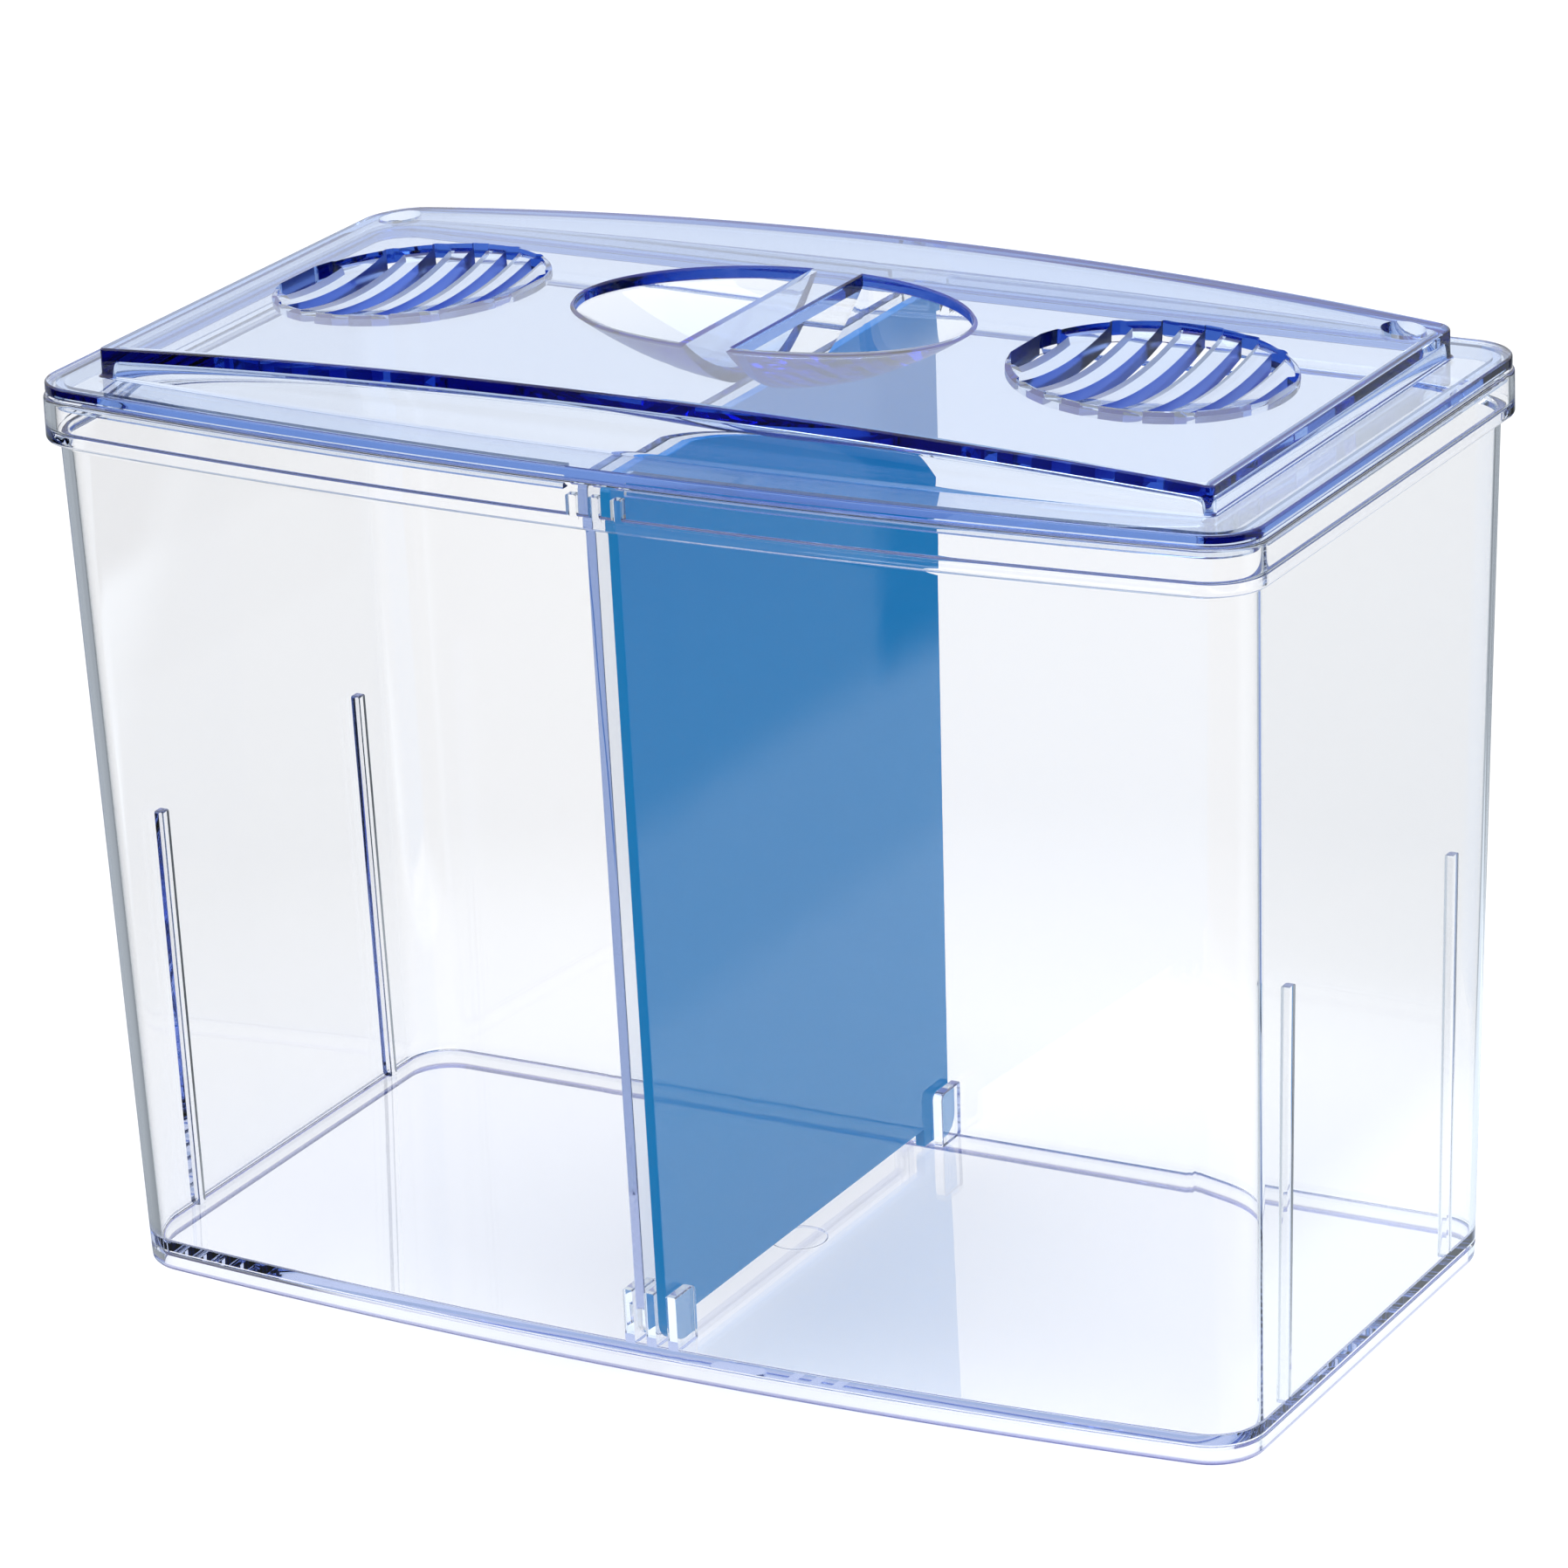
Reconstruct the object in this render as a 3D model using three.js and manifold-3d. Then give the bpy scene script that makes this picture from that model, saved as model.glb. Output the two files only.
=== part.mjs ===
// Two-compartment betta tank with a bowed front, lift-off lid and two lift-out dividers.
// Millimetres, +Z up. The origin is the middle of the footprint, on the surface that the tank
// stands on: +X is the right end, -Y the bowed front, +Y the flat back.

import * as THREE from 'three';
import { mergeVertices } from 'three/addons/utils/BufferGeometryUtils.js';
import Module from 'manifold-3d';

// Rim, the widest part of the tank
const rimLength = 240;
const rimDepth = 126;
const bowRise = 7;
const rimHeight = 169;
const cornerRadius = 10;

// Collar, the band under the rim that stands proud of the walls
const collarHeight = 9;
const collarStep = 1.9;
const collarWall = 2;
const collarRound = 0.9;
const ledgeDepth = 6.6;

// Walls, floor and foot
const wallThickness = 2;
const wallDraft = 4.4;
const floorHeight = 5.4;
const floorThickness = 1.8;
const floorFillet = 0.6;
const footWall = 2.2;
const footRound = 1.2;
const grooveDepth = 0.35;
const grooveHalfHeight = 0.4;
const gateMarkRadius = 5.5;
const gateMarkDepth = 0.5;

// Stacking ribs inside the end walls
const ribWidth = 2.4;
const ribDepth = 1.8;
const ribSpacing = 69;
const ribTop = 83.5;

// Divider slots, between posts at the rim and fingers on the floor
const slotWidth = 2.4;
const postWidth = 2;
const postDrop = 2.7;
const fingerLength = 7.3;
const fingerHeight = 10.6;
const fingerRound = 1.6;

// Dividers, each on two feet with a low water passage between them
const dividerThickness = 2;
const dividerSideGap = 0.5;
const dividerFloorGap = 0.9;
const dividerCorner = 4;
const dividerFootLength = 10;
const passageHeight = 3.5;
const dividerTopDrop = 0.8;
const earCorner = 1;
const earGap = 0.4;

// Lid
const seatGap = 0.3;
const flangeThickness = 2.2;
const flangeInset = 0.4;
const flangeEdge = 0.5;
const lidSheet = 2.8;
const domeWall = 2;
const domeInset = 10.2;
const domeCorner = 1.4;
const domeBackRightCorner = 3.2;
const domeBackLeftCorner = 9;
const domeEndHeight = 5.2;
const domeRise = 5.3;
const lipDepth = 2.3;
const lipThickness = 1.5;
const lipClearance = 0.4;
const lipEndGap = 0.6;

// Vents, two round dished grilles. Their spacing is a share of the rim's length.
const ventSpacingShare = 0.622;
const ventRadius = 24.5;
const ventStep = 0.9;
const ventDish = 3.6;
const ventPlate = 3.1;
const slatPitch = 7.6;
const slatWidth = 4.1;

// Grip, two finger bowls either side of a bar: a short upright step, then a dish
const gripLength = 75.6;
const gripDepth = 49;
const bowlStep = 2;
const bowlDish = 10.8;
const bowlWall = 1.6;
const barClearance = 0.45;

// Airline holes near the back corners
const airHoleRadius = 4;
const airHoleInset = 7;

// Share of the collar's step that its sloping underside uses as height
const collarSlopeShare = 0.25;

// Overrun of a cutting or joining shape past the face that it meets
const overrun = 1;

// Facets: a whole number of steps in each kind of curve
const cornerSteps = 6;
const frontSteps = 16;
const vaultSteps = 20;
const circleSteps = 36;
const smallCircleSteps = 24;
const dishSteps = 5;
const filletSteps = 3;

// Lines that several pieces share
const halfLength = rimLength / 2;
const halfDepth = rimDepth / 2;
const bowRadius = (halfLength ** 2 + bowRise ** 2) / (2 * bowRise);
const middleY = bowRise / 2;
const collarFoot = rimHeight - collarHeight;
const ledgeHeight = rimHeight - ledgeDepth;
const floorUnderside = floorHeight - floorThickness;
const slotPitch = slotWidth + postWidth;
const postTop = rimHeight - postDrop;
const outerPostEdge = slotPitch + postWidth / 2;

// How far the outside of the wall is drawn in from the rim's outline at a height
function wallInset(height) {
    return collarStep + wallDraft * (1 - height / collarFoot);
}

// How far the inside of the wall is drawn in at a height
function innerInset(height) {
    return wallInset(height) + wallThickness;
}

const wasm = await Module();
wasm.setup();

// A solid for joining and cutting, from a closed geometry
function solid(geometry) {
    const bare = geometry.clone();
    bare.deleteAttribute('normal');
    bare.deleteAttribute('uv');
    const merged = mergeVertices(bare);
    return new wasm.Manifold(new wasm.Mesh({
        numProp: 3,
        vertProperties: new Float32Array(merged.attributes.position.array),
        triVerts: new Uint32Array(merged.index.array),
    }));
}

function geometryOf(manifold) {
    const mesh = manifold.getMesh();
    const geometry = new THREE.BufferGeometry();
    geometry.setAttribute('position', new THREE.BufferAttribute(new Float32Array(mesh.vertProperties), 3));
    geometry.setIndex(new THREE.BufferAttribute(new Uint32Array(mesh.triVerts), 1));
    geometry.computeVertexNormals();
    return geometry;
}

function arcPoints(centreX, centreY, radius, start, end, steps) {
    const points = [];
    for (let i = 0; i <= steps; i += 1) {
        const angle = start + (end - start) * i / steps;
        const x = centreX + radius * Math.cos(angle);
        const y = centreY + radius * Math.sin(angle);
        points.push(new THREE.Vector2(x, y));
    }
    return points;
}

// The rim's outline in plan, drawn in by inset: flat back and ends, bowed front, rounded corners.
// Every such outline has the same number of points, counter-clockwise from above. The back corners
// may have radii of their own.
function planOutline(inset, radius, backRight = radius, backLeft = radius) {
    const endX = halfLength - inset;
    const backY = halfDepth - inset;
    const bow = bowRadius - inset;
    const bowY = bowRadius - halfDepth;
    const cornerX = endX - radius;
    const frontCornerY = bowY - Math.sqrt((bow - radius) ** 2 - cornerX ** 2);
    const touch = Math.atan2(bowY - frontCornerY, cornerX);
    const quarter = Math.PI / 2;
    return [
        ...arcPoints(endX - backRight, backY - backRight, backRight, 0, quarter, cornerSteps),
        ...arcPoints(backLeft - endX, backY - backLeft, backLeft, quarter, Math.PI, cornerSteps),
        ...arcPoints(-cornerX, frontCornerY, radius, Math.PI, Math.PI + touch, cornerSteps),
        ...arcPoints(0, bowY, bow, Math.PI + touch, 2 * Math.PI - touch, frontSteps).slice(1, -1),
        ...arcPoints(cornerX, frontCornerY, radius, 2 * Math.PI - touch, 2 * Math.PI, cornerSteps),
    ];
}

// A closed skin through plan outlines. Each stop is [inset, height, corner radius, ...back corners'
// radii], and both ends are capped. Going up the outside and down the inside turns the faces out.
function loft(stops) {
    const rings = stops.map(([inset, , ...radii]) => planOutline(inset, ...radii));
    const count = rings[0].length;
    const positions = [];
    rings.forEach((ring, i) => ring.forEach((point) => positions.push(point.x, point.y, stops[i][1])));
    const faces = [];
    for (let i = 0; i + 1 < rings.length; i += 1) {
        for (let j = 0; j < count; j += 1) {
            const next = (j + 1) % count;
            const low = i * count;
            const high = low + count;
            faces.push(low + j, low + next, high + next);
            faces.push(low + j, high + next, high + j);
        }
    }
    const last = (rings.length - 1) * count;
    for (const [a, b, c] of THREE.ShapeUtils.triangulateShape(rings[0], [])) {
        faces.push(c, b, a);
    }
    for (const [a, b, c] of THREE.ShapeUtils.triangulateShape(rings[rings.length - 1], [])) {
        faces.push(last + a, last + b, last + c);
    }
    const geometry = new THREE.BufferGeometry();
    geometry.setAttribute('position', new THREE.Float32BufferAttribute(positions, 3));
    geometry.setIndex(faces);
    return solid(geometry);
}

// A straight-sided block on a plan outline, from one height to another
function planBlock(inset, radii, low, high) {
    return loft([[inset, low, ...radii], [inset, high, ...radii]]);
}

function box(minX, maxX, minY, maxY, minZ, maxZ) {
    const geometry = new THREE.BoxGeometry(maxX - minX, maxY - minY, maxZ - minZ);
    geometry.translate((minX + maxX) / 2, (minY + maxY) / 2, (minZ + maxZ) / 2);
    return solid(geometry);
}

// A side profile drawn in Y and Z, given a thickness along X and centred on x
function sidePlate(points, x, thickness) {
    const shape = new THREE.Shape(points);
    const geometry = new THREE.ExtrudeGeometry(shape, { depth: thickness, bevelEnabled: false });
    geometry.translate(0, 0, -thickness / 2);
    geometry.applyMatrix4(new THREE.Matrix4().makeBasis(
        new THREE.Vector3(0, 1, 0),
        new THREE.Vector3(0, 0, 1),
        new THREE.Vector3(1, 0, 0),
    ));
    geometry.translate(x, 0, 0);
    return solid(geometry);
}

// An end profile drawn in X and Z, given a depth along Y and centred on y
function endPlate(points, y, depth) {
    const geometry = new THREE.ExtrudeGeometry(new THREE.Shape(points), { depth, bevelEnabled: false });
    geometry.rotateX(Math.PI / 2);
    geometry.translate(0, y + depth / 2, 0);
    return solid(geometry);
}

function pillar(radius, x, y, low, high, steps) {
    const geometry = new THREE.CylinderGeometry(radius, radius, high - low, steps);
    geometry.rotateX(Math.PI / 2);
    geometry.translate(x, y, (low + high) / 2);
    return solid(geometry);
}

function material(color, roughness, opacity) {
    const transparent = opacity < 1;
    return new THREE.MeshStandardMaterial({ color, roughness, metalness: 0, opacity, transparent });
}

const clearStyrene = material(0xe6edf8, 0.05, 0.35);
const blueTintStyrene = material(0x6f95e0, 0.06, 0.6);
const blueDividerStyrene = material(0x2a76b9, 0.15, 1);

function part(name, manifold, finish) {
    const mesh = new THREE.Mesh(geometryOf(manifold), finish);
    mesh.name = name;
    return mesh;
}

// Tank: one moulding. The stops run from under the floor, down the foot, up the outside,
// over the rim and down the inside to the floor.
function tankShell() {
    const radius = cornerRadius;
    const inner = radius - wallThickness;
    const footInset = wallInset(0);
    const footInner = footInset + footWall;
    const collarSlope = collarStep * collarSlopeShare;
    const bevel = 1 - Math.SQRT1_2;
    const floorInset = innerInset(floorHeight);
    return loft([
        [footInner, floorUnderside, radius - footWall],
        [footInner, 0, radius - footWall],
        [footInset + footRound, 0, radius - footRound],
        [footInset + footRound * bevel, footRound * bevel, radius],
        [wallInset(footRound), footRound, radius],
        [wallInset(floorUnderside - grooveHalfHeight), floorUnderside - grooveHalfHeight, radius],
        [wallInset(floorUnderside) + grooveDepth, floorUnderside, radius],
        [wallInset(floorUnderside + grooveHalfHeight), floorUnderside + grooveHalfHeight, radius],
        [wallInset(collarFoot), collarFoot, radius],
        [collarRound * bevel, collarFoot + collarSlope, radius],
        [0, collarFoot + collarSlope + collarRound, radius],
        [0, rimHeight - collarRound, radius],
        [collarRound * bevel, rimHeight - collarRound * bevel, radius],
        [collarRound, rimHeight, radius - collarRound],
        [collarWall, rimHeight, radius - collarWall],
        [collarWall, ledgeHeight, radius - collarWall],
        [innerInset(collarFoot), ledgeHeight, inner],
        [innerInset(floorHeight + floorFillet), floorHeight + floorFillet, inner],
        [floorInset + floorFillet * bevel, floorHeight + floorFillet * bevel, inner],
        [floorInset + floorFillet, floorHeight, inner - floorFillet],
    ]);
}

// Stacking rib on an end wall, following the wall's draft. side is 1 at the right end.
function stackingRib(side, y) {
    const faceX = (height) => side * (halfLength - innerInset(height));
    const bite = side * overrun;
    const foot = floorHeight - overrun;
    const points = [
        new THREE.Vector2(faceX(foot) + bite, foot),
        new THREE.Vector2(faceX(ribTop) + bite, ribTop),
        new THREE.Vector2(faceX(ribTop) - side * ribDepth, ribTop),
        new THREE.Vector2(faceX(foot) - side * ribDepth, foot),
    ];
    return endPlate(points, y, ribWidth);
}

// Post in the rim's rebate that keeps the divider's ear in its slot. side is 1 at the back.
function slotPost(side, x) {
    const outerY = side * (halfDepth - collarWall + overrun);
    const innerY = side * (halfDepth - innerInset(collarFoot));
    return box(x - postWidth / 2, x + postWidth / 2, Math.min(outerY, innerY), Math.max(outerY, innerY),
        ledgeHeight - overrun, postTop);
}

// Finger on the floor, against the front or back wall, with a rounded inner corner
function floorFinger(side, x) {
    const wallY = (height) => side * (halfDepth - innerInset(height) + overrun);
    const tipY = side * (halfDepth - innerInset(floorHeight) - fingerLength);
    const top = floorHeight + fingerHeight;
    const foot = floorHeight - overrun;
    const roundY = tipY + side * fingerRound;
    const start = side > 0 ? Math.PI : 0;
    const points = [
        new THREE.Vector2(wallY(foot), foot),
        new THREE.Vector2(tipY, foot),
        ...arcPoints(roundY, top - fingerRound, fingerRound, start, Math.PI / 2, filletSteps),
        new THREE.Vector2(wallY(top), top),
    ];
    return sidePlate(points, x, postWidth);
}

function buildTank() {
    let body = tankShell();
    for (const side of [-1, 1]) {
        for (const slot of [-1, 0, 1]) {
            body = body.add(slotPost(side, slot * slotPitch));
            body = body.add(floorFinger(side, slot * slotPitch));
        }
        for (const row of [-1, 1]) {
            body = body.add(stackingRib(side, middleY + row * ribSpacing / 2));
        }
    }
    const gateMark = pillar(gateMarkRadius, 0, 0, floorUnderside - overrun,
        floorUnderside + gateMarkDepth, smallCircleSteps);
    return part('tank', body.subtract(gateMark), clearStyrene);
}

// Divider: a flat plate with tapered sides, a foot at each bottom corner and an ear at each top
// corner that hangs on the ledge in the rim. Its own origin is midway between the feet's undersides.
const dividerFoot = floorHeight + dividerFloorGap;

function dividerOutline() {
    const sideY = (height) => halfDepth - innerInset(height) - dividerSideGap;
    const earFoot = ledgeHeight + seatGap - dividerFoot;
    const top = rimHeight - dividerTopDrop - dividerFoot;
    const bottomY = sideY(dividerFoot);
    const shoulderY = sideY(ledgeHeight);
    const earY = halfDepth - collarWall - earGap;
    const footY = bottomY - dividerFootLength;
    const half = [
        new THREE.Vector2(footY, passageHeight),
        new THREE.Vector2(footY, 0),
        ...arcPoints(bottomY - dividerCorner, dividerCorner, dividerCorner, -Math.PI / 2, 0, cornerSteps),
        new THREE.Vector2(shoulderY, earFoot),
        new THREE.Vector2(earY, earFoot),
        ...arcPoints(earY - earCorner, top - earCorner, earCorner, 0, Math.PI / 2, filletSteps),
    ];
    const mirrored = half.map((point) => new THREE.Vector2(-point.x, point.y)).reverse();
    return [...half, ...mirrored];
}

function buildDivider(name, slot, finish) {
    const divider = part(name, sidePlate(dividerOutline(), 0, dividerThickness), finish);
    divider.position.set(slot * slotPitch / 2, 0, dividerFoot);
    return divider;
}

// Lid: one moulding. Heights here are above the underside of its flange.
const domeHalfLength = halfLength - domeInset;
const domeEndTop = flangeThickness + domeEndHeight;
const vaultRadius = (domeHalfLength ** 2 + domeRise ** 2) / (2 * domeRise);
const ventX = rimLength * ventSpacingShare / 2;
const gripBarHalf = slotPitch / 2 + dividerThickness / 2 + barClearance + bowlWall;

// Height of the dome's top at x, lowered by drop
function vaultHeight(x, drop) {
    return domeEndTop + domeRise - vaultRadius + Math.sqrt((vaultRadius - drop) ** 2 - x ** 2);
}

// Everything under the dome's vaulted top, within its plan outline and above a floor height
function underVault(inset, radii, low, drop) {
    const points = [];
    for (let i = 0; i <= vaultSteps; i += 1) {
        const x = halfLength * (1 - 2 * i / vaultSteps);
        points.push(new THREE.Vector2(x, vaultHeight(x, drop)));
    }
    points.push(new THREE.Vector2(-halfLength, low - overrun), new THREE.Vector2(halfLength, low - overrun));
    const vault = endPlate(points, 0, rimDepth);
    const top = domeEndTop + domeRise + overrun;
    return planBlock(inset, radii, low, top).intersect(vault);
}

function lidFlange() {
    const radius = cornerRadius - flangeInset;
    return loft([
        [flangeInset + flangeEdge, 0, radius - flangeEdge],
        [flangeInset, flangeEdge, radius],
        [flangeInset, flangeThickness - flangeEdge, radius],
        [flangeInset + flangeEdge, flangeThickness, radius - flangeEdge],
    ]);
}

// Lip that drops inside the collar, broken at the front and back where the divider ears stand
function lidLip() {
    const outer = collarWall + lipClearance;
    const inner = outer + lipThickness;
    const ring = planBlock(outer, [cornerRadius - outer], -lipDepth, overrun)
        .subtract(planBlock(inner, [cornerRadius - inner], -lipDepth - overrun, 2 * overrun));
    const breakHalf = outerPostEdge + lipEndGap;
    return ring.subtract(box(-breakHalf, breakHalf, -halfDepth, halfDepth, -lipDepth - overrun, 2 * overrun));
}

// Frame of a vent: centred on the dome's top and tilted with it
function ventFrame(side) {
    const x = side * ventX;
    const tilt = Math.asin(x / vaultRadius);
    return new THREE.Matrix4().makeTranslation(x, middleY, vaultHeight(x, 0))
        .multiply(new THREE.Matrix4().makeRotationY(tilt));
}

// Round plate dished on both sides, turned about the vent's axis. Its edge bites into the sheet,
// and its underside meets the sheet's underside at the bore.
function ventCup(frame) {
    const outer = ventRadius + overrun;
    const dish = (low, rise) => {
        const radius = (ventRadius ** 2 + rise ** 2) / (2 * rise);
        const points = [];
        for (let i = 0; i <= dishSteps; i += 1) {
            const r = outer * i / dishSteps;
            points.push(new THREE.Vector2(r, radius - Math.sqrt(radius ** 2 - r ** 2) - low));
        }
        return points;
    };
    const topDepth = ventStep + ventDish;
    const lowDepth = topDepth + ventPlate;
    const profile = [...dish(lowDepth, lowDepth - lidSheet), ...dish(topDepth, ventDish).reverse()];
    const geometry = new THREE.LatheGeometry(profile, circleSteps);
    geometry.rotateX(Math.PI / 2);
    geometry.applyMatrix4(frame);
    return solid(geometry);
}

function ventBore(frame) {
    const geometry = new THREE.CylinderGeometry(ventRadius, ventRadius, rimHeight, circleSteps);
    geometry.rotateX(Math.PI / 2);
    geometry.applyMatrix4(frame);
    return solid(geometry);
}

// Slots of a vent: as many as the pitch allows, kept inside the bore
function ventSlots(frame) {
    const slotGap = slatPitch - slatWidth;
    const reach = Math.floor(ventRadius / slatPitch);
    const slots = [];
    for (let i = -reach; i <= reach; i += 1) {
        const geometry = new THREE.BoxGeometry(slotGap, 2 * ventRadius, rimHeight);
        geometry.translate(i * slatPitch, 0, 0);
        geometry.applyMatrix4(frame);
        slots.push(solid(geometry));
    }
    return wasm.Manifold.union(slots).intersect(ventBore(frame));
}

// A finger bowl on one side of the grip bar, grown by a wall: a dish turned about the grip's middle
// and narrowed from front to back, with upright sides above a given depth
function gripBowl(side, grow, barHalf, sideDepth) {
    const halfX = gripLength / 2 + grow;
    const edgeShare = Math.sqrt(1 + (bowlStep + grow - sideDepth) / bowlDish);
    const profile = [];
    for (let i = 0; i <= dishSteps; i += 1) {
        const share = edgeShare * i / dishSteps;
        const depth = bowlStep + bowlDish * (1 - share ** 2) + grow;
        profile.push(new THREE.Vector2(halfX * share, -depth));
    }
    profile.push(new THREE.Vector2(halfX * edgeShare, overrun), new THREE.Vector2(0, overrun));
    const geometry = new THREE.LatheGeometry(profile, circleSteps);
    geometry.rotateX(Math.PI / 2);
    geometry.scale(1, (gripDepth / 2 + grow) / halfX, 1);
    geometry.translate(0, middleY, domeEndTop + domeRise);
    const near = side * barHalf;
    const far = side * halfLength;
    const keep = box(Math.min(near, far), Math.max(near, far), -halfDepth, halfDepth,
        -rimHeight, rimHeight);
    return solid(geometry).intersect(keep);
}

function buildLid() {
    const corners = [domeCorner, domeBackRightCorner, domeBackLeftCorner];
    const hollowCorners = [domeCorner, domeCorner, domeBackLeftCorner - domeWall];
    const dome = underVault(domeInset, corners, 0, 0);
    const hollow = underVault(domeInset + domeWall, hollowCorners, -overrun, lidSheet);
    const belowTop = underVault(domeInset, corners, -rimHeight, 0);
    let body = lidFlange().add(dome).subtract(hollow).add(lidLip());
    for (const side of [-1, 1]) {
        const frame = ventFrame(side);
        body = body.subtract(ventBore(frame))
            .add(ventCup(frame).intersect(belowTop))
            .subtract(ventSlots(frame));
        const bowl = gripBowl(side, bowlWall, gripBarHalf - bowlWall, lidSheet / 2);
        body = body.add(bowl.intersect(belowTop));
    }
    for (const side of [-1, 1]) {
        body = body.subtract(gripBowl(side, 0, gripBarHalf, bowlStep));
        const airHole = pillar(airHoleRadius, side * (domeHalfLength - airHoleInset),
            halfDepth - domeInset - airHoleInset, 0, domeEndTop + domeRise, smallCircleSteps);
        body = body.subtract(airHole);
    }
    const lid = part('lid', body, blueTintStyrene);
    lid.position.set(0, 0, rimHeight + seatGap);
    return lid;
}

const tankAssembly = new THREE.Group();
tankAssembly.add(buildTank());
tankAssembly.add(buildDivider('divider_clear', -1, clearStyrene));
tankAssembly.add(buildDivider('divider_blue', 1, blueDividerStyrene));
tankAssembly.add(buildLid());

export default tankAssembly;
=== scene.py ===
"""Bow-front betta tank with two lift-out dividers and a vented lid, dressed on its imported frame.

Lengths are millimetres until a mesh is made, and metres after that. The camera, the lamp and the bands
of light on the table are in metres.
"""
import math

import bmesh
import bpy
import numpy as np
from mathutils import Matrix, Vector


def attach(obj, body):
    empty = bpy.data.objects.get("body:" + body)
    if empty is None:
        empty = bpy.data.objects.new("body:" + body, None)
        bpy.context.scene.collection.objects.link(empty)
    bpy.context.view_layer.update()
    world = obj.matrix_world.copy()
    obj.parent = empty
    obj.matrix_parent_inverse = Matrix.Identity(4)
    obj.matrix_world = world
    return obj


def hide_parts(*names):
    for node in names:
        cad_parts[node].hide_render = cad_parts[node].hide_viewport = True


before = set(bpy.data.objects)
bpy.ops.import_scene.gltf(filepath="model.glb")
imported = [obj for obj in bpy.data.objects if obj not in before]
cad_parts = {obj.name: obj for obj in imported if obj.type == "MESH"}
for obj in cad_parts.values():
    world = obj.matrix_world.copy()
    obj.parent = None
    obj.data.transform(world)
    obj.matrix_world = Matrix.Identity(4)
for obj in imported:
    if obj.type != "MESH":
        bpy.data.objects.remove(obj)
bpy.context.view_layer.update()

MM = 0.001

# Camera, fitted to the photograph
YAW, PITCH, ROLL = 0.5108, 0.3475, -0.0409
DISTANCE = 1.35898
AIM = Vector((0.0, 0.00072, 0.09326))
PHOTO_SIDE = 1796
PHOTO_FOCAL = 8626.93
SENSOR_WIDTH = 36.0
CLIP_START = 0.05
CLIP_END = 50.0

cam_data = bpy.data.cameras.new("camera")
cam = bpy.data.objects.new("camera", cam_data)
bpy.context.scene.collection.objects.link(cam)
bpy.context.scene.camera = cam
forward = Vector((-math.sin(YAW) * math.cos(PITCH), math.cos(YAW) * math.cos(PITCH), -math.sin(PITCH)))
flat_right = Vector((math.cos(YAW), math.sin(YAW), 0.0))
flat_up = flat_right.cross(forward)
right = flat_right * math.cos(ROLL) + flat_up * math.sin(ROLL)
up = flat_up * math.cos(ROLL) - flat_right * math.sin(ROLL)
turn = Matrix((right, up, -forward)).transposed().to_4x4()
cam.matrix_world = Matrix.Translation(AIM - forward * DISTANCE) @ turn
cam_data.sensor_width = SENSOR_WIDTH
cam_data.lens = SENSOR_WIDTH * PHOTO_FOCAL / PHOTO_SIDE
cam_data.clip_start = CLIP_START
cam_data.clip_end = CLIP_END

# Rim and collar
RIM_LENGTH = 240.0
RIM_DEPTH = 126.0
RIM_HEIGHT = 169.0
RIM_ROUND = 0.7
RIM_INNER_ROUND = 0.4
BOW_RISE = 7.0
CORNER = 10.0
COLLAR_HEIGHT = 9.0
COLLAR_STEP = 1.9
COLLAR_WALL = 2.0
COLLAR_SLOPE = 0.475
COLLAR_ROUND = 0.8
COLLAR_ROUND_RISE = 0.9
COLLAR_ROOT_DROP = 0.5
COLLAR_ROOT_REACH = 0.15
LEDGE_DEPTH = 6.6
LEDGE_FILLET = 0.9
LEDGE_EDGE = 0.4
LEDGE_EDGE_MIDDLE = 0.12
LEDGE_SINK = 0.5

# Walls, floor and foot
WALL = 2.0
DRAFT = 4.4
FLOOR = 5.4
FLOOR_UNDER = 3.6
FLOOR_ROUND = 0.8
FOOT_WALL = 2.2
FOOT_ROUND = 1.2
FOOT_BREAK = 0.3
GROOVE_DEPTH = 0.35
GROOVE_HALF = 0.4
GATE_RADIUS = 5.5
GATE_DEPTH = 0.6
GATE_ROUND = 0.3

# Stacking ribs, slot posts at the rim and slot fingers on the floor
RIB_COUNT = 2
RIB_WIDTH = 2.4
RIB_DEPTH = 1.8
RIB_SPACING = 69.0
RIB_TOP = 83.5
RIB_ROUND = 0.4
POST_COUNT = 3
POST_WIDTH = 2.0
POST_DROP = 2.7
POST_ROUND = 0.25
SLOT_WIDTH = 2.4
FINGER_LENGTH = 7.3
FINGER_HEIGHT = 10.6
FINGER_NOSE = 1.6
FINGER_ROUND = 0.3

# Dividers
DIVIDER_THICK = 2.0
DIVIDER_LIFT = 0.9
DIVIDER_GAP = 0.5
DIVIDER_DROP = 0.8
DIVIDER_CORNER = 4.0
DIVIDER_ROUND = 0.25
DIVIDER_FOOT_LENGTH = 10.0
PASSAGE = 3.5
EAR_SEAT = 0.3
EAR_GAP = 0.4
EAR_CORNER = 1.0

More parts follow.
